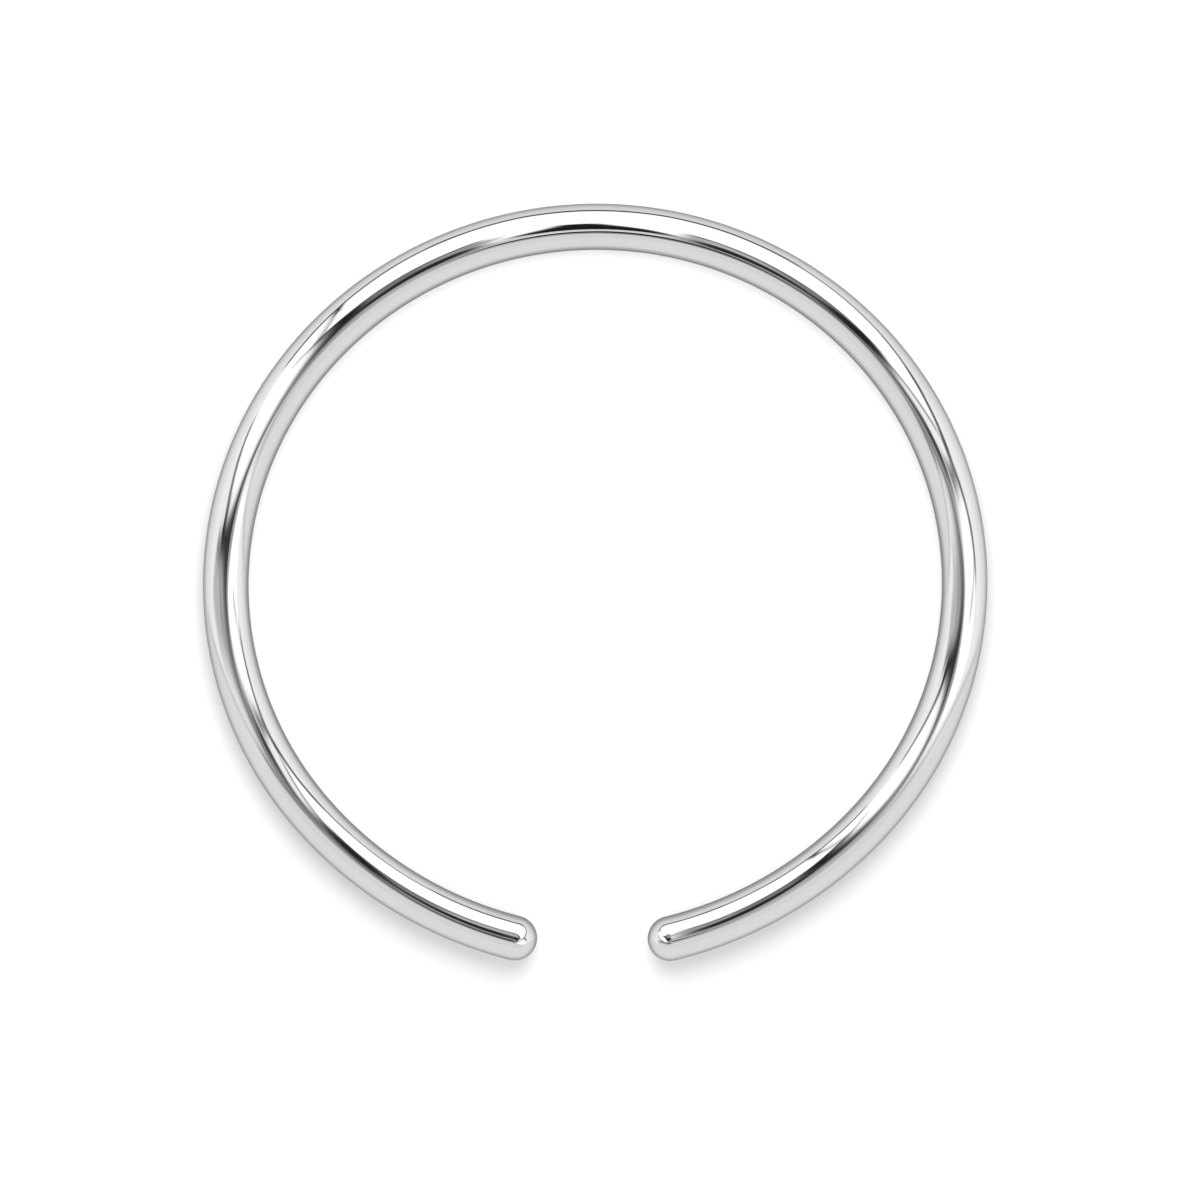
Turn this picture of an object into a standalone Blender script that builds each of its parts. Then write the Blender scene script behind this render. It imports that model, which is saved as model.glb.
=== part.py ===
# An open hoop nose ring: one length of round silver wire bent into a circle, with a gap at -Y
# and both ends rounded off to half balls. Near each end the bend is let out to a slightly
# larger radius, so the ends stand a little proud of the circle. The ring lies on its side on
# the plane z = 0, with the centre of its circle over the origin. Units are metres, +Z is up.

import math

import bmesh
import bpy
from mathutils import Vector

# Driving dimensions
WIRE_DIAMETER = 0.00065
INNER_DIAMETER = 0.0099
END_GAP = 0.0016
END_BEND_RADIUS = 0.0057

# Angle from +Y at which the bend goes over to the end radius, the same on both sides
LET_OUT_ANGLE = math.radians(130)

# How finely the round shapes are faceted
WIRE_SIDES = 24
BEND_STEPS = 120
DOME_STEPS = 6

# Finish of the wire: mirror-polished silver
SILVER_COLOUR = (0.72, 0.71, 0.70, 1.0)
SILVER_METALLIC = 1.0
SILVER_ROUGHNESS = 0.05

# Sizes worked out from the driving dimensions, to the middle of the wire
WIRE_RADIUS = WIRE_DIAMETER / 2
BEND_RADIUS = INNER_DIAMETER / 2 + WIRE_RADIUS
LET_OUT = END_BEND_RADIUS - BEND_RADIUS
END_X = END_GAP / 2 + WIRE_RADIUS
END_ANGLE = math.pi - math.asin((END_X + LET_OUT * math.sin(LET_OUT_ANGLE)) / END_BEND_RADIUS)

UP = Vector((0, 0, 1))


def clear_scene():
    for old in list(bpy.data.objects):
        bpy.data.objects.remove(old)


def outward(angle):
    """Direction out of the bend. The angle is 0 at +Y and grows clockwise, seen from above."""
    return Vector((math.sin(angle), math.cos(angle), 0))


def along(angle):
    """Direction in which the wire runs at that angle."""
    return Vector((math.cos(angle), -math.sin(angle), 0))


def wire_middle(angle):
    """Point in the middle of the wire where the bend faces that angle."""
    middle = outward(angle) * BEND_RADIUS
    if abs(angle) > LET_OUT_ANGLE:
        turning_point = outward(math.copysign(LET_OUT_ANGLE, angle))
        middle = outward(angle) * END_BEND_RADIUS - turning_point * LET_OUT
    return middle + UP * WIRE_RADIUS


def wire_sections():
    """The wire's cross-sections from one tip to the other, as angle, reach and size.

    Reach moves a section along the wire, past the end of the bend, and size scales it. Both
    are shares of the wire's radius. Over the half balls they follow a quarter circle.
    """
    rises = [math.pi / 2 * step / DOME_STEPS for step in range(1, DOME_STEPS)]
    bend = [END_ANGLE * (2 * step / BEND_STEPS - 1) for step in range(BEND_STEPS + 1)]
    first_ball = [(-END_ANGLE, -math.cos(rise), math.sin(rise)) for rise in rises]
    last_ball = [(END_ANGLE, math.cos(rise), math.sin(rise)) for rise in reversed(rises)]
    return first_ball + [(angle, 0.0, 1.0) for angle in bend] + last_ball


def ring_of_points(bm, angle, reach, size):
    """One cross-section's corners. Its flats touch the round wire, and one faces straight down."""
    centre = wire_middle(angle) + along(angle) * reach * WIRE_RADIUS
    corner_radius = WIRE_RADIUS / math.cos(math.pi / WIRE_SIDES) * size
    ring = []
    for corner in range(WIRE_SIDES):
        turn = 2 * math.pi * (corner + 0.5) / WIRE_SIDES
        offset = outward(angle) * math.cos(turn) + UP * math.sin(turn)
        ring.append(bm.verts.new(centre + offset * corner_radius))
    return ring


def join_rings(bm, near, far):
    for corner in range(WIRE_SIDES):
        following = (corner + 1) % WIRE_SIDES
        bm.faces.new((near[corner], near[following], far[following], far[corner]))


def close_tip(bm, ring, angle, reach):
    """Fills the last ring of a half ball with a fan of triangles up to its tip."""
    tip = bm.verts.new(wire_middle(angle) + along(angle) * reach * WIRE_RADIUS)
    for corner in range(WIRE_SIDES):
        bm.faces.new((ring[corner], ring[(corner + 1) % WIRE_SIDES], tip))


def hoop_mesh():
    bm = bmesh.new()
    rings = [ring_of_points(bm, *section) for section in wire_sections()]
    for near, far in zip(rings, rings[1:]):
        join_rings(bm, near, far)
    close_tip(bm, rings[0], -END_ANGLE, -1.0)
    close_tip(bm, rings[-1], END_ANGLE, 1.0)
    bmesh.ops.recalc_face_normals(bm, faces=bm.faces)
    mesh = bpy.data.meshes.new("hoop")
    bm.to_mesh(mesh)
    bm.free()
    return mesh


def silver_material():
    material = bpy.data.materials.new("polished_silver")
    material.use_nodes = True
    shader = material.node_tree.nodes["Principled BSDF"]
    shader.inputs["Base Color"].default_value = SILVER_COLOUR
    shader.inputs["Metallic"].default_value = SILVER_METALLIC
    shader.inputs["Roughness"].default_value = SILVER_ROUGHNESS
    return material


def build_hoop():
    mesh = hoop_mesh()
    mesh.materials.append(silver_material())
    mesh.shade_smooth()
    mesh.set_sharp_from_angle(angle=math.radians(40))
    hoop = bpy.data.objects.new("hoop", mesh)
    bpy.context.scene.collection.objects.link(hoop)


clear_scene()
build_hoop()
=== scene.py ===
import math
import bmesh
import bpy
import numpy as np
from mathutils import Matrix, Vector


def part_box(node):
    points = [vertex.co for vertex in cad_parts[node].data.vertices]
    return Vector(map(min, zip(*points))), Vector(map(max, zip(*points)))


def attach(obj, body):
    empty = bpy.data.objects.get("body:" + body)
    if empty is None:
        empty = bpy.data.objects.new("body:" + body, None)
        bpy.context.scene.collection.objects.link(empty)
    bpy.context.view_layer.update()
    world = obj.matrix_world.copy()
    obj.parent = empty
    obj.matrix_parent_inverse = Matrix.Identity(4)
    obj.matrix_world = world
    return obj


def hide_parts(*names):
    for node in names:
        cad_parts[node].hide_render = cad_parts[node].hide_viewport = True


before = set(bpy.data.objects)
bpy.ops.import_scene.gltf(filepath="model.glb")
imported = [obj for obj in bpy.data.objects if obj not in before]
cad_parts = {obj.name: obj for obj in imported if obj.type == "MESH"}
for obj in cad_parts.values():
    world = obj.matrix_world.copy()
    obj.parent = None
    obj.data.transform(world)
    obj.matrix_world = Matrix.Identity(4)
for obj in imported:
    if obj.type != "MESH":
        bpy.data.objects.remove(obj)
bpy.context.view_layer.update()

# An open nose ring of polished silver wire, lying on its side on a pale floor.
# Lengths are in metres. The gap faces -Y, and the middle of the ring is over the origin.

mm = 0.001


def srgbToLinear(value):
    return np.where(value <= 0.04045, value / 12.92, ((value + 0.055) / 1.055) ** 2.4)


def hexToLinear(hexText):
    channels = [int(hexText[start:start + 2], 16) / 255 for start in (0, 2, 4)]
    return (*(float(srgbToLinear(channel)) for channel in channels), 1.0)


def addNode(tree, kind, settings=None, links=None):
    node = tree.nodes.new(kind)
    for name, value in (settings or {}).items():
        setattr(node, name, value)
    for socket, value in (links or {}).items():
        if isinstance(value, bpy.types.NodeSocket):
            tree.links.new(value, node.inputs[socket])
        else:
            node.inputs[socket].default_value = value
    return node


def newMaterial(name):
    material = bpy.data.materials.new(name)
    material.use_nodes = True
    material.node_tree.nodes.clear()
    return material


# Polished silver

silverLook = {
    "tone": "DCDBDA",           # bare silver, a little warm
    "filmTone": "D8D6D4",       # where the thinnest tarnish film begins
    "filmSize": 2.2 * mm,
    "filmDetail": 3.0,
    "roughness": (0.035, 0.06),
    "hazeSize": 0.7 * mm,
    "hazeDetail": 4.0,
    "hazeSpread": (0.3, 0.7),   # the part of the noise that the roughness is spread over
    "buffingWidth": 0.02 * mm,  # buffing marks are finer than this, but this is what shows
    "buffingLength": 1.6 * mm,
    "buffingDetail": 2.0,
    "buffingDepth": 5e-6 * mm,
}


def makePolishedSilver(look):
    # Drawn sterling wire, buffed to a mirror with rouge: near-perfect reflections,
    # a trace of haze, and faint marks that run along the wire.
    silver = newMaterial("polishedSilver")
    tree = silver.node_tree
    wireSpace = addNode(tree, "ShaderNodeAttribute", {"attribute_name": "wireSpace"})
    wirePlace = wireSpace.outputs["Vector"]
    film = addNode(tree, "ShaderNodeTexNoise", None,
                   {"Vector": wirePlace, "Scale": 1 / look["filmSize"],
                    "Detail": look["filmDetail"]})
    tone = addNode(tree, "ShaderNodeMix", {"data_type": "RGBA"},
                   {"Factor": film.outputs["Fac"],
                    "A": hexToLinear(look["tone"]), "B": hexToLinear(look["filmTone"])})
    haze = addNode(tree, "ShaderNodeTexNoise", None,
                   {"Vector": wirePlace, "Scale": 1 / look["hazeSize"],
                    "Detail": look["hazeDetail"]})
    roughness = addNode(tree, "ShaderNodeMapRange", None,
                        {"Value": haze.outputs["Fac"],
                         "From Min": look["hazeSpread"][0], "From Max": look["hazeSpread"][1],
                         "To Min": look["roughness"][0], "To Max": look["roughness"][1]})
    across = 1 / look["buffingWidth"]
    stretched = addNode(tree, "ShaderNodeMapping", None,
                        {"Vector": wirePlace, "Scale": (across, across, 1 / look["buffingLength"])})
    marks = addNode(tree, "ShaderNodeTexNoise", None,
                    {"Vector": stretched.outputs["Vector"], "Scale": 1.0,
                     "Detail": look["buffingDetail"]})
    bump = addNode(tree, "ShaderNodeBump", None,
                   {"Height": marks.outputs["Fac"], "Strength": 1.0,
                    "Distance": look["buffingDepth"]})
    shader = addNode(tree, "ShaderNodeBsdfPrincipled", None,
                     {"Base Color": tone.outputs[2], "Metallic": 1.0,
                      "Roughness": roughness.outputs["Result"], "Normal": bump.outputs["Normal"]})
    addNode(tree, "ShaderNodeOutputMaterial", None, {"Surface": shader.outputs["BSDF"]})
    return silver


# The hoop: one round wire, bent to a ring, its ends let out a little and domed

low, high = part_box("hoop")
wireRadius = (high[2] - low[2]) / 2
bendRadius = (high[0] - low[0]) / 2 - wireRadius    # to the middle of the wire
hoopShape = {
    "endGap": 1.6 * mm,
    "endBendRadius": 5.7 * mm,
    "letOutAngle": math.radians(130),   # from +Y, where the ends begin to be let out
    "bendSteps": 720,
    "domeSteps": 16,
    "wireSides": 96,
    "mergeDistance": 0.0001 * mm,       # closes the wire's seam and the poles of its domes
}


def buildHoopTree():
    tree = bpy.data.node_groups.new("hoopWire", "GeometryNodeTree")
    tree.interface.new_socket("Geometry", in_out="INPUT", socket_type="NodeSocketGeometry")
    inputKinds = {"Wire Radius": "Float", "Bend Radius": "Float", "End Bend Radius": "Float",
                  "Let Out Angle": "Float", "End Angle": "Float", "Bend Steps": "Int",
                  "Dome Steps": "Int", "Wire Sides": "Int", "Merge Distance": "Float",
                  "Metal": "Material"}
    for name, kind in inputKinds.items():
        tree.interface.new_socket(name, in_out="INPUT", socket_type="NodeSocket" + kind)
    tree.interface.new_socket("Geometry", in_out="OUTPUT", socket_type="NodeSocketGeometry")
    given = addNode(tree, "NodeGroupInput").outputs
    calc = "ShaderNodeMath"

    # a row of points: the bend's steps and a dome's steps at each end
    bothDomes = addNode(tree, calc, {"operation": "MULTIPLY"},
                        {0: given["Dome Steps"], 1: 2.0}).outputs[0]
    allSteps = addNode(tree, calc, {"operation": "ADD"},
                       {0: given["Bend Steps"], 1: bothDomes}).outputs[0]
    pointCount = addNode(tree, calc, {"operation": "ADD"}, {0: allSteps, 1: 1.0}).outputs[0]
    row = addNode(tree, "GeometryNodeMeshLine", None, {"Count": pointCount})
    line = addNode(tree, "GeometryNodeMeshToCurve", None, {"Mesh": row.outputs["Mesh"]})
    index = addNode(tree, "GeometryNodeInputIndex").outputs["Index"]

    # how far round the ring a point stands, clockwise from +Y as seen from above
    bendEnd = addNode(tree, calc, {"operation": "ADD"},
                      {0: given["Dome Steps"], 1: given["Bend Steps"]}).outputs[0]
    startAngle = addNode(tree, calc, {"operation": "MULTIPLY"},
                         {0: given["End Angle"], 1: -1.0}).outputs[0]
    angle = addNode(tree, "ShaderNodeMapRange", None,
                    {"Value": index, "From Min": given["Dome Steps"], "From Max": bendEnd,
                     "To Min": startAngle, "To Max": given["End Angle"]}).outputs["Result"]

    # how far up a dome it stands: -1 at the first pole, 0 along the bend, 1 at the last pole
    firstDome = addNode(tree, "ShaderNodeMapRange", None,
                        {"Value": index, "From Min": 0.0, "From Max": given["Dome Steps"],
                         "To Min": -math.pi / 2, "To Max": 0.0}).outputs["Result"]
    lastDome = addNode(tree, "ShaderNodeMapRange", None,
                       {"Value": index, "From Min": bendEnd, "From Max": allSteps,
                        "To Min": 0.0, "To Max": math.pi / 2}).outputs["Result"]
    rise = addNode(tree, calc, {"operation": "ADD"}, {0: firstDome, 1: lastDome}).outputs[0]
    riseSine = addNode(tree, calc, {"operation": "SINE"}, {0: rise}).outputs[0]
    riseCosine = addNode(tree, calc, {"operation": "COSINE"}, {0: rise}).outputs[0]
    reach = addNode(tree, calc, {"operation": "MULTIPLY"},
                    {0: riseSine, 1: given["Wire Radius"]}).outputs[0]
    size = addNode(tree, calc, {"operation": "MULTIPLY"},
                   {0: riseCosine, 1: given["Wire Radius"]}).outputs[0]

    # past the let-out angle the bend is wider, about a middle shifted to keep the wire smooth
    turned = addNode(tree, calc, {"operation": "ABSOLUTE"}, {0: angle}).outputs[0]
    isEnd = addNode(tree, calc, {"operation": "GREATER_THAN"},
                    {0: turned, 1: given["Let Out Angle"]}).outputs[0]
    letOut = addNode(tree, calc, {"operation": "SUBTRACT"},
                     {0: given["End Bend Radius"], 1: given["Bend Radius"]}).outputs[0]
    extra = addNode(tree, calc, {"operation": "MULTIPLY"}, {0: letOut, 1: isEnd}).outputs[0]
    radius = addNode(tree, calc, {"operation": "ADD"},
                     {0: given["Bend Radius"], 1: extra}).outputs[0]
    unturned = addNode(tree, "ShaderNodeCombineXYZ", None,
                       {"X": reach, "Y": radius, "Z": given["Wire Radius"]}).outputs["Vector"]
    clockwise = (0.0, 0.0, -1.0)
    onBend = addNode(tree, "ShaderNodeVectorRotate", None,
                     {"Vector": unturned, "Axis": clockwise, "Angle": angle}).outputs["Vector"]
    side = addNode(tree, calc, {"operation": "SIGN"}, {0: angle}).outputs[0]
    turnAngle = addNode(tree, calc, {"operation": "MULTIPLY"},
                        {0: side, 1: given["Let Out Angle"]}).outputs[0]
    shiftLength = addNode(tree, "ShaderNodeCombineXYZ", None, {"Y": extra}).outputs["Vector"]
    shift = addNode(tree, "ShaderNodeVectorRotate", None,
                    {"Vector": shiftLength, "Axis": clockwise,
                     "Angle": turnAngle}).outputs["Vector"]
    place = addNode(tree, "ShaderNodeVectorMath", {"operation": "SUBTRACT"},
                    {0: onBend, 1: shift}).outputs[0]
    bent = addNode(tree, "GeometryNodeSetPosition", None,
                   {"Geometry": line.outputs["Curve"], "Position": place})
    upright = addNode(tree, "GeometryNodeSetCurveNormal", {"mode": "Z_UP"},
                      {"Curve": bent.outputs["Geometry"]})

    # the length along the wire and the place across it are kept for the finish
    arc = addNode(tree, calc, {"operation": "MULTIPLY"},
                  {0: angle, 1: given["Bend Radius"]}).outputs[0]
    along = addNode(tree, calc, {"operation": "ADD"}, {0: arc, 1: reach}).outputs[0]
    kept = addNode(tree, "GeometryNodeCaptureAttribute", {"domain": "POINT"},
                   {"Geometry": upright.outputs["Curve"]})
    kept.capture_items.new("FLOAT", "along")
    kept.capture_items.new("FLOAT", "size")
    tree.links.new(along, kept.inputs["along"])
    tree.links.new(size, kept.inputs["size"])
    rim = addNode(tree, "GeometryNodeCurvePrimitiveCircle", None,
                  {"Resolution": given["Wire Sides"], "Radius": 1.0})
    position = addNode(tree, "GeometryNodeInputPosition").outputs["Position"]
    keptRim = addNode(tree, "GeometryNodeCaptureAttribute", {"domain": "POINT"},
                      {"Geometry": rim.outputs["Curve"]})
    keptRim.capture_items.new("VECTOR", "across")
    tree.links.new(position, keptRim.inputs["across"])
    wire = addNode(tree, "GeometryNodeCurveToMesh", None,
                   {"Curve": kept.outputs["Geometry"], "Profile Curve": keptRim.outputs["Geometry"],
                    "Scale": size})
    acrossWire = addNode(tree, "ShaderNodeVectorMath", {"operation": "SCALE"},
                         {0: keptRim.outputs["across"], "Scale": kept.outputs["size"]}).outputs[0]
    alongWire = addNode(tree, "ShaderNodeCombineXYZ", None,
                        {"Z": kept.outputs["along"]}).outputs["Vector"]
    wireSpace = addNode(tree, "ShaderNodeVectorMath", {"operation": "ADD"},
                        {0: acrossWire, 1: alongWire}).outputs[0]
    named = addNode(tree, "GeometryNodeStoreNamedAttribute",
                    {"data_type": "FLOAT_VECTOR", "domain": "POINT"},
                    {"Geometry": wire.outputs["Mesh"], "Name": "wireSpace", "Value": wireSpace})
    closed = addNode(tree, "GeometryNodeMergeByDistance", None,
                     {"Geometry": named.outputs["Geometry"], "Distance": given["Merge Distance"]})
    smooth = addNode(tree, "GeometryNodeSetShadeSmooth", None,
                     {"Geometry": closed.outputs["Geometry"]})
    real = addNode(tree, "GeometryNodeRealizeInstances", None,
                   {"Geometry": smooth.outputs["Geometry"]})
    dressed = addNode(tree, "GeometryNodeSetMaterial", None,
                      {"Geometry": real.outputs["Geometry"], "Material": given["Metal"]})
    addNode(tree, "NodeGroupOutput", None, {"Geometry": dressed.outputs["Geometry"]})
    return tree


def makeHoop(shape, metal):
    letOut = shape["endBendRadius"] - bendRadius
    endX = shape["endGap"] / 2 + wireRadius + letOut * math.sin(shape["letOutAngle"])
    values = {
        "Wire Radius": wireRadius,
        "Bend Radius": bendRadius,
        "End Bend Radius": shape["endBendRadius"],
        "Let Out Angle": shape["letOutAngle"],
        "End Angle": math.pi - math.asin(endX / shape["endBendRadius"]),
        "Bend Steps": shape["bendSteps"],
        "Dome Steps": shape["domeSteps"],
        "Wire Sides": shape["wireSides"],
        "Merge Distance": shape["mergeDistance"],
        "Metal": metal,
    }
    tree = buildHoopTree()
    maker = bpy.data.objects.new("hoopMaker", bpy.data.meshes.new("hoopMaker"))
    bpy.context.scene.collection.objects.link(maker)
    modifier = maker.modifiers.new("hoopWire", "NODES")
    modifier.node_group = tree
    for socket in tree.interface.items_tree:
        if socket.in_out == "INPUT" and socket.name in values:
            modifier[socket.identifier] = values[socket.name]
    evaluated = maker.evaluated_get(bpy.context.evaluated_depsgraph_get())
    mesh = bpy.data.meshes.new_from_object(evaluated)
    mesh.name = "polishedHoop"
    bpy.data.objects.remove(maker)
    hoop = bpy.data.objects.new("polished_hoop", mesh)
    bpy.context.scene.collection.objects.link(hoop)
    return hoop


polishedSilver = makePolishedSilver(silverLook)
hoop = makeHoop(hoopShape, polishedSilver)
hoop.visible_glossy = False     # the wire mirrors the tent alone, and not its own far side
print("hoop: %d faces" % len(hoop.data.polygons))
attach(hoop, "root")
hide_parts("hoop")

# The floor

floorLook = {"size": 600 * mm, "tone": "E6E6E6", "roughness": 0.7, "specular": 0.2}


def makeFloor(look):
    # a sheet of matt white acrylic
    acrylic = newMaterial("mattAcrylic")
    tree = acrylic.node_tree
    shader = addNode(tree, "ShaderNodeBsdfPrincipled", None,
                     {"Base Color": hexToLinear(look["tone"]), "Roughness": look["roughness"],
                      "Specular IOR Level": look["specular"]})
    addNode(tree, "ShaderNodeOutputMaterial", None, {"Surface": shader.outputs["BSDF"]})
    half = look["size"] / 2
    corners = [(-half, -half, 0), (half, -half, 0), (half, half, 0), (-half, half, 0)]
    mesh = bpy.data.meshes.new("floor")
    mesh.from_pydata(corners, [], [(0, 1, 2, 3)])
    mesh.materials.append(acrylic)
    floor = bpy.data.objects.new("floor", mesh)
    bpy.context.scene.collection.objects.link(floor)
    floor.visible_glossy = False    # the wire mirrors even white all round, as in mid-air
    return floor


floor = makeFloor(floorLook)

# The camera, at the photo's angle: the ring's far side from the gap is the nearer one

cameraView = {
    "pictureSize": 1200,                # pixels of the photo
    "ringMiddlePixel": (595.5, 588.8),
    "bendRadiusPixels": 369.4,
    "distanceInRadii": 18,
    "pitch": math.radians(15.1),
    "yaw": math.radians(0.84),
    "turn": math.radians(0.5),
    "sensor": 36,                       # millimetres, as Blender's cameras take it
    "clip": (1 * mm, 10),
}


def makeCamera(view):
    turned = (Matrix.Rotation(view["turn"], 3, "Z") @ Matrix.Rotation(-view["yaw"], 3, "Y")
              @ Matrix.Rotation(-view["pitch"], 3, "X"))
    perPixel = bendRadius / view["bendRadiusPixels"]
    middle = view["pictureSize"] / 2
    aim = Vector(((middle - view["ringMiddlePixel"][0]) * perPixel,
                  (view["ringMiddlePixel"][1] - middle) * perPixel,
                  view["distanceInRadii"] * bendRadius))
    data = bpy.data.cameras.new("camera")
    data.sensor_width = view["sensor"]
    distanceInPixels = view["distanceInRadii"] * view["bendRadiusPixels"]
    data.lens = view["sensor"] * distanceInPixels / view["pictureSize"]
    data.clip_start, data.clip_end = view["clip"]
    camera = bpy.data.objects.new("camera", data)
    place = Matrix.Translation(Vector((0, 0, wireRadius)) + turned @ aim)
    camera.matrix_world = place @ turned.to_4x4()
    bpy.context.scene.collection.objects.link(camera)
    bpy.context.scene.camera = camera


makeCamera(cameraView)
bpy.context.scene.view_settings.view_transform = "Standard"
print("floor and camera are set")

# The light tent, which only the wire mirrors. It is drawn as seen from the ring: (x, y) is how
# many degrees a place lies from straight up, towards +X and towards +Y. A shade is how light the
# silver looks where it mirrors the place. Later panels lie over earlier ones.

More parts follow.
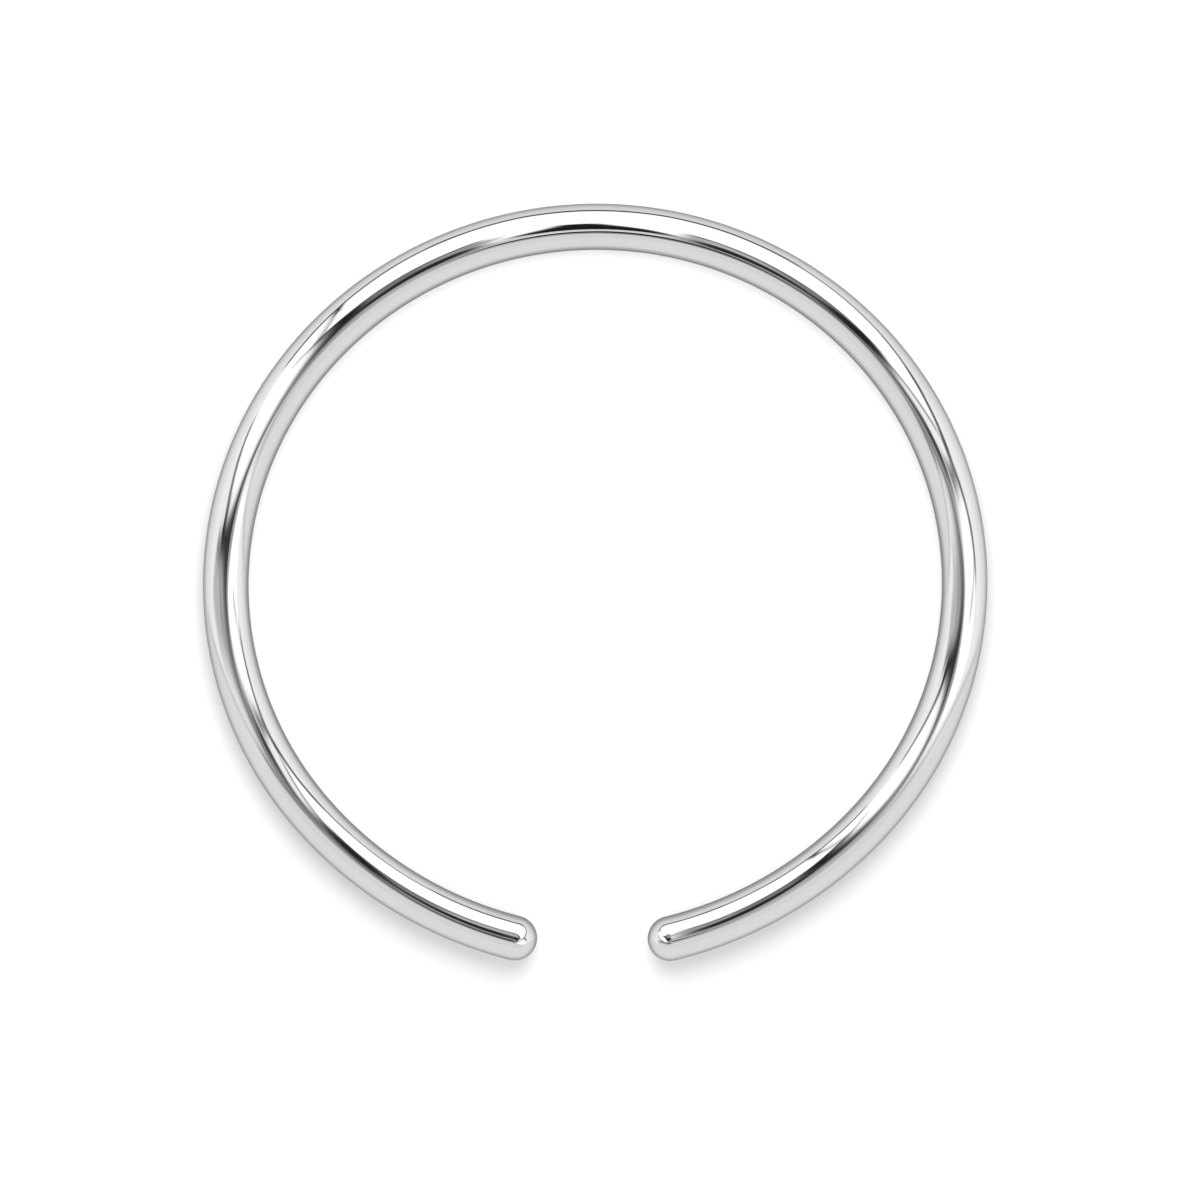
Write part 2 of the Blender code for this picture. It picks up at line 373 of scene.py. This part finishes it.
tentLook = {
    "radius": 45 * mm,
    "sides": 360,
    "rings": 180,
    "skyShade": 0.93,
    "skyFade": 0.0026,          # how much darker for each degree past skyFadeFrom
    "skyFadeFrom": 75,
    "tableShade": 0.855,
    "tableFade": 0.0012,
    "tableFadeFrom": 80,
    "fadeLength": 70,
    "tableEdge": -31,           # where the white table ends and the sky begins
    "tableEdgeSoft": 6,
    "lowShade": 0.50,           # the dim ground far below, which only the wire's two edges mirror
    "lowFrom": 112,             # degrees from the lens side, where the ground begins
    "lowFull": 160,             # and where it is at its full shade
    "lensSide": (0, 15),
    "silverReflectance": 0.70,  # the tent glows brighter by this, so that its shades come out true
}
tentPanels = [
    {"name": "table near", "soft": 3, "shade": 0.83,
     "outline": [(-14, -24), (-4, -18), (0, -15.5), (5, -18), (14, -23), (30, -28), (30, -40),
                 (-30, -40), (-30, -28)]},
    {"name": "table edge left", "width": 2, "soft": 4, "shade": 0.72,
     "path": [(-20, -25.5), (-32, -28), (-50, -30.5), (-100, -32)]},
    {"name": "table edge right", "width": 1.5, "soft": 4, "shade": 0.72,
     "path": [(14, -22.5), (22, -25.5), (34, -28), (50, -30.5), (100, -38)]},
    {"name": "haze left", "soft": 10, "shade": 0.72,
     "outline": [(-60, -6), (-40, -10), (-20, -13), (-2, -15), (-10, -19), (-20, -21), (-30, -22),
                 (-50, -25), (-66, -18)]},
    {"name": "haze near", "soft": 5, "shade": 0.62,
     "outline": [(-38, -11), (-20, -12), (-1, -14.5), (-5, -17.5), (-18, -19.5), (-34, -19)]},
    {"name": "haze node", "soft": 3, "shade": 0.5,
     "outline": [(-18, -12.5), (-1, -14.3), (-4, -17), (-16, -18.5)]},
    {"name": "table edge left near", "width": 1.5, "soft": 3, "shade": 0.36,
     "path": [(-1, -16), (-6, -19.5), (-12, -22.5), (-20, -25.5)]},
    {"name": "table edge right near", "width": 1, "soft": 3, "shade": 0.6,
     "path": [(3, -17), (9, -20.5), (16, -23.5)]},
    {"name": "rim top", "width": 7, "soft": 3, "shade": 0.2,
     "path": [(-48, 85), (-22, 97.5), (0, 98.5), (22, 97.5), (42, 90.5), (58, 78)]},
    {"name": "rim middle", "width": 6, "soft": 4, "shade": 0.08,
     "path": [(-10, 98.5), (10, 98.5)]},
    {"name": "rim left", "width": 5, "soft": 3.5, "shade": 0.14,
     "path": [(-71, 38), (-70, 48), (-67, 60), (-58, 77), (-44, 88)]},
    {"name": "rim right", "width": 4, "soft": 4, "shade": 0.32,
     "path": [(58, 77), (69, 60), (72, 47), (69, 34), (65, 26)]},
    {"name": "rim right low", "width": 4.5, "soft": 4, "shade": 0.28,
     "path": [(67, 30), (60, 18), (54, 9), (46, 3)]},
    {"name": "band left", "width": 3.5, "soft": 4, "shade": 0.33,
     "path": [(-67, 17), (-61, 9), (-53, 3), (-45, -3), (-36, -7.5)]},
    {"name": "band left inner", "width": 3, "soft": 5, "shade": 0.45,
     "path": [(-56, -8), (-46, -10), (-36, -10.5)]},
    {"name": "band left near", "width": 3, "soft": 3, "shade": 0.17,
     "path": [(-44, -7), (-34, -9.5), (-22, -11.3), (-10, -13), (-2, -14.3)]},
    {"name": "band right", "width": 2.5, "soft": 3, "shade": 0.5,
     "path": [(22, -7), (32, -4), (42, 0), (50, 4)]},
    {"name": "band right near", "width": 3.5, "soft": 3.5, "shade": 0.22,
     "path": [(2.5, -13.8), (10, -10.5), (16, -8)]},
    {"name": "band right inner", "width": 1.6, "soft": 2.5, "shade": 0.35, "strength": 0.9,
     "path": [(22, 2.5), (28, 3.8), (35, 5), (42, 6)]},
    {"name": "knot", "soft": 6, "shade": 0.42,
     "outline": [(44, 0), (52, 6), (56, 2), (61, -5), (60, -12), (56, -14), (53, -9), (52, -3)]},
    {"name": "main", "soft": 3, "shade": 1.03,
     "outline": [(-63, 56), (-56, 69), (-47, 79), (-36, 87), (-22, 93), (0, 95), (22, 93),
                 (36, 87), (48, 78), (58, 67), (65, 55), (67, 45), (64, 32), (57, 20), (50, 12),
                 (43, 8), (35, 7.5), (28, 7), (20, 12), (-20, 12), (-38, 22)]},
    {"name": "right streak", "soft": 3, "shade": 0.95,
     "outline": [(24, -3), (30, 1.5), (38, 3.5), (40, 1.5), (32, -1.5)]},
    {"name": "left", "soft": 3, "shade": 1.03,
     "outline": [(-66, 52), (-58, 42), (-38, 19), (-31, 12), (-22, 2), (-15, -6), (-19, -8),
                 (-30, -6), (-40, -3.5), (-49, 2), (-57, 8), (-64, 17), (-67, 27), (-68, 40)]},
    {"name": "divider left", "width": 2.5, "soft": 2, "shade": 0.18,
     "path": [(-66.5, 57), (-61, 51), (-56, 45)]},
    {"name": "divider left low", "width": 1.2, "soft": 2, "shade": 0.6,
     "path": [(-57, 46), (-47, 33.5), (-38, 22)]},
    {"name": "right", "soft": 3, "shade": 1.03,
     "outline": [(-1, -15.2), (10, -13), (20, -10.5), (30, -7.5), (40, -4.5), (47, -3), (51, -7),
                 (55, -16), (52, -24), (36, -26), (22, -23), (12, -19)]},
    {"name": "right lower line near", "width": 1.2, "soft": 1.5, "shade": 0.45,
     "path": [(1, -15), (5, -15.8), (9, -16.8)]},
    {"name": "right lower line", "width": 1, "soft": 2, "shade": 0.5,
     "path": [(34, -16.8), (44, -14.5), (52, -11), (58, -7)]},
    {"name": "divider left inner", "width": 1.4, "soft": 2, "shade": 0.4, "strength": 0.75,
     "path": [(-45, 20.5), (-35, 17.5), (-27, 14)]},
    {"name": "room left", "soft": 3, "shade": 0.45,
     "outline": [(-39, 21.5), (-31, 21), (-24, 26), (-18, 30), (-15, 33), (-13, 22), (-10, 10),
                 (-6, -2), (-2.5, -12), (-7, -11), (-13, -5), (-19, 2), (-23, 7), (-28, 12),
                 (-35, 17)]},
    {"name": "room left edge", "width": 2, "soft": 2, "shade": 0.14,
     "path": [(-37, 20.5), (-30, 20.5), (-23, 25), (-17, 28.5), (-15, 32)]},
    {"name": "room left dark", "soft": 3, "shade": 0.12,
     "outline": [(-32, 19), (-26, 19), (-20, 12), (-14, 3), (-8, -7), (-12, -3), (-18, 4),
                 (-24, 11)]},
    {"name": "room patch left", "soft": 4, "shade": 0.58,
     "outline": [(-19, 23), (-13, 29), (-9, 22), (-8, 12), (-12, 13), (-16, 18)]},
    {"name": "room right", "soft": 3, "shade": 0.48,
     "outline": [(13, 34), (18, 29), (24, 21), (28, 10), (22, 4), (14, -2), (6, -11), (1.5, -12.5),
                 (4, -2), (7, 6), (8, 15), (11, 27)]},
    {"name": "room right edge", "width": 2, "soft": 2, "shade": 0.16,
     "path": [(13.5, 31), (17, 27.5), (21.5, 21.5), (25.5, 15), (27, 9)]},
    {"name": "room right dark", "soft": 3, "shade": 0.12,
     "outline": [(25.5, 10), (20.5, 10), (15.5, 5), (10.5, -2), (5.5, -9), (10.5, -7), (16.5, -2),
                 (22.5, 3)]},
    {"name": "room patch right", "soft": 4, "shade": 0.7,
     "outline": [(11, 28), (15, 27), (18, 20), (16, 12), (11, 10), (9, 16)]},
    {"name": "room lit left", "soft": 2.5, "shade": 0.62,
     "outline": [(-9, -3), (-5, 3), (-2, -3), (-3.5, -11), (-6, -9)]},
    {"name": "room lit right", "soft": 2.5, "shade": 0.6,
     "outline": [(8, -4), (5, 2), (4, -3), (5.5, -10)]},
    {"name": "room middle", "soft": 3, "shade": 0.1,
     "outline": [(-4, 33), (0.5, 33), (2.5, 26), (5.5, 19), (6.5, 12), (4.5, 6), (-3, 6),
                 (-5.5, 12), (-4.5, 20), (-4, 26)]},
    {"name": "core left", "soft": 3, "shade": 0.15,
     "outline": [(-5, 0), (-9, -2), (-14, 2), (-16, 6), (-14, 12), (-11, 15), (-8, 12), (-6, 6)]},
    {"name": "core right", "soft": 3, "shade": 0.15,
     "outline": [(5, 0), (9, -1), (13, 1), (14, 5), (13, 11), (11, 14), (8, 12), (6, 6)]},
    {"name": "room sill", "width": 1, "soft": 2, "shade": 0.42,
     "path": [(-6, 3.5), (-1, 2), (5, 2)]},
    {"name": "lens", "soft": 2.5, "shade": 0.08,
     "outline": [(-2.5, -9.5), (0, -11), (4, -10.5), (4, -5), (1.5, -2.5), (-1.5, -4)]},
]


def distanceToPath(x, y, points):
    nearest = np.full(x.shape, np.inf)
    for (ax, ay), (bx, by) in zip(points, points[1:]):
        alongX, alongY = bx - ax, by - ay
        share = ((x - ax) * alongX + (y - ay) * alongY) / (alongX ** 2 + alongY ** 2)
        share = np.clip(share, 0, 1)
        nearest = np.minimum(nearest, np.hypot(x - ax - share * alongX, y - ay - share * alongY))
    return nearest


def insideOutline(x, y, points):
    inside = np.zeros(x.shape, bool)
    for (ax, ay), (bx, by) in zip(points, points[1:]):
        if ay != by:
            crosses = (ay > y) != (by > y)
            inside ^= crosses & (x < (bx - ax) * (y - ay) / (by - ay) + ax)
    return inside


def tentShade(x, y, look, panels):
    fromTop = np.hypot(x, y)
    skyFaded = np.clip(fromTop - look["skyFadeFrom"], 0, look["fadeLength"])
    tableFaded = np.clip(fromTop - look["tableFadeFrom"], 0, look["fadeLength"])
    sky = look["skyShade"] - look["skyFade"] * skyFaded
    table = look["tableShade"] - look["tableFade"] * tableFaded
    above = np.clip((y - look["tableEdge"]) / look["tableEdgeSoft"] + 0.5, 0, 1)
    shade = table * (1 - above) + sky * above
    for panel in panels:
        if "outline" in panel:
            closed = panel["outline"] + panel["outline"][:1]
            distance = distanceToPath(x, y, closed)
            distance = np.where(insideOutline(x, y, closed), -distance, distance)
        else:
            distance = distanceToPath(x, y, panel["path"]) - panel["width"] / 2
        cover = np.clip(0.5 - distance / panel["soft"], 0, 1)
        cover = cover * cover * (3 - 2 * cover) * panel.get("strength", 1)  # eased at both edges
        shade = shade * (1 - cover) + panel["shade"] * cover
    return shade


def makeTent(look, panels):
    glow = newMaterial("tentCloth")
    tree = glow.node_tree
    brightness = addNode(tree, "ShaderNodeAttribute", {"attribute_name": "glow"}).outputs["Fac"]
    emission = addNode(tree, "ShaderNodeEmission", None, {"Strength": brightness})
    addNode(tree, "ShaderNodeOutputMaterial", None, {"Surface": emission.outputs["Emission"]})
    glow.cycles.emission_sampling = "NONE"
    form = bmesh.new()
    bmesh.ops.create_uvsphere(form, u_segments=look["sides"], v_segments=look["rings"],
                              radius=look["radius"])
    mesh = bpy.data.meshes.new("lightTent")
    form.to_mesh(mesh)
    form.free()
    places = np.empty(len(mesh.vertices) * 3, np.float32)
    mesh.vertices.foreach_get("co", places)
    places = places.reshape(-1, 3) / look["radius"]
    fromTop = np.degrees(np.arccos(np.clip(places[:, 2], -1, 1)))
    outwards = np.maximum(np.hypot(places[:, 0], places[:, 1]), 1e-9)   # never 0, at a pole either
    perUnit = fromTop / outwards
    shade = tentShade(places[:, 0] * perUnit, places[:, 1] * perUnit, look, panels)
    lensX, lensY = (math.sin(math.radians(angle)) for angle in look["lensSide"])
    facing = np.array((lensX, lensY, math.sqrt(1 - lensX ** 2 - lensY ** 2)))
    fromLens = np.degrees(np.arccos(np.clip(places @ facing, -1, 1)))
    dim = np.clip((fromLens - look["lowFrom"]) / (look["lowFull"] - look["lowFrom"]), 0, 1)
    shade = shade * (1 - dim) + look["lowShade"] * dim
    strength = srgbToLinear(shade) / look["silverReflectance"]
    stored = mesh.attributes.new("glow", "FLOAT", "POINT")
    stored.data.foreach_set("value", strength.astype(np.float32))
    mesh.materials.append(glow)
    tent = bpy.data.objects.new("lightTent", mesh)
    bpy.context.scene.collection.objects.link(tent)
    tent.visible_camera = False
    tent.visible_diffuse = False
    tent.visible_transmission = False
    tent.visible_shadow = False
    return tent


tent = makeTent(tentLook, tentPanels)

# The light on the floor: even white air all round, a round lamp over the ring's far side, and wide
# daylight from behind it. The lamp and the daylight give the soft shadow outside the near side,
# and the daylight keeps the floor as white far off as it is near the ring.

airLook = {"tone": "FFFFFF", "strength": 1.0}
lampLook = {"power": 0.0015, "width": 14 * mm, "place": Vector((0, 8 * mm, 12 * mm))}   # watts
daylightLook = {"power": 1.28, "width": 45, "fromTop": 52}      # watts for each m2, and degrees


def makeLight(name, kind, power, place):
    data = bpy.data.lights.new(name, kind)
    data.energy = power
    light = bpy.data.objects.new(name, data)
    light.location = place
    light.rotation_euler = (-place).to_track_quat("-Z", "Y").to_euler()
    light.visible_glossy = False
    light.visible_camera = False
    bpy.context.scene.collection.objects.link(light)
    return light


lamp = makeLight("softLamp", "AREA", lampLook["power"], lampLook["place"])
lamp.data.shape = "DISK"
lamp.data.size = lampLook["width"]
slope = math.radians(daylightLook["fromTop"])
daylightFrom = Vector((0, math.sin(slope), math.cos(slope)))
daylight = makeLight("daylight", "SUN", daylightLook["power"], daylightFrom)
daylight.data.angle = math.radians(daylightLook["width"])

world = bpy.data.worlds.new("studio")
world.use_nodes = True
world.node_tree.nodes.clear()
air = addNode(world.node_tree, "ShaderNodeBackground", None,
              {"Color": hexToLinear(airLook["tone"]), "Strength": airLook["strength"]})
addNode(world.node_tree, "ShaderNodeOutputWorld", None, {"Surface": air.outputs["Background"]})
bpy.context.scene.world = world
print("light tent and studio light are set")
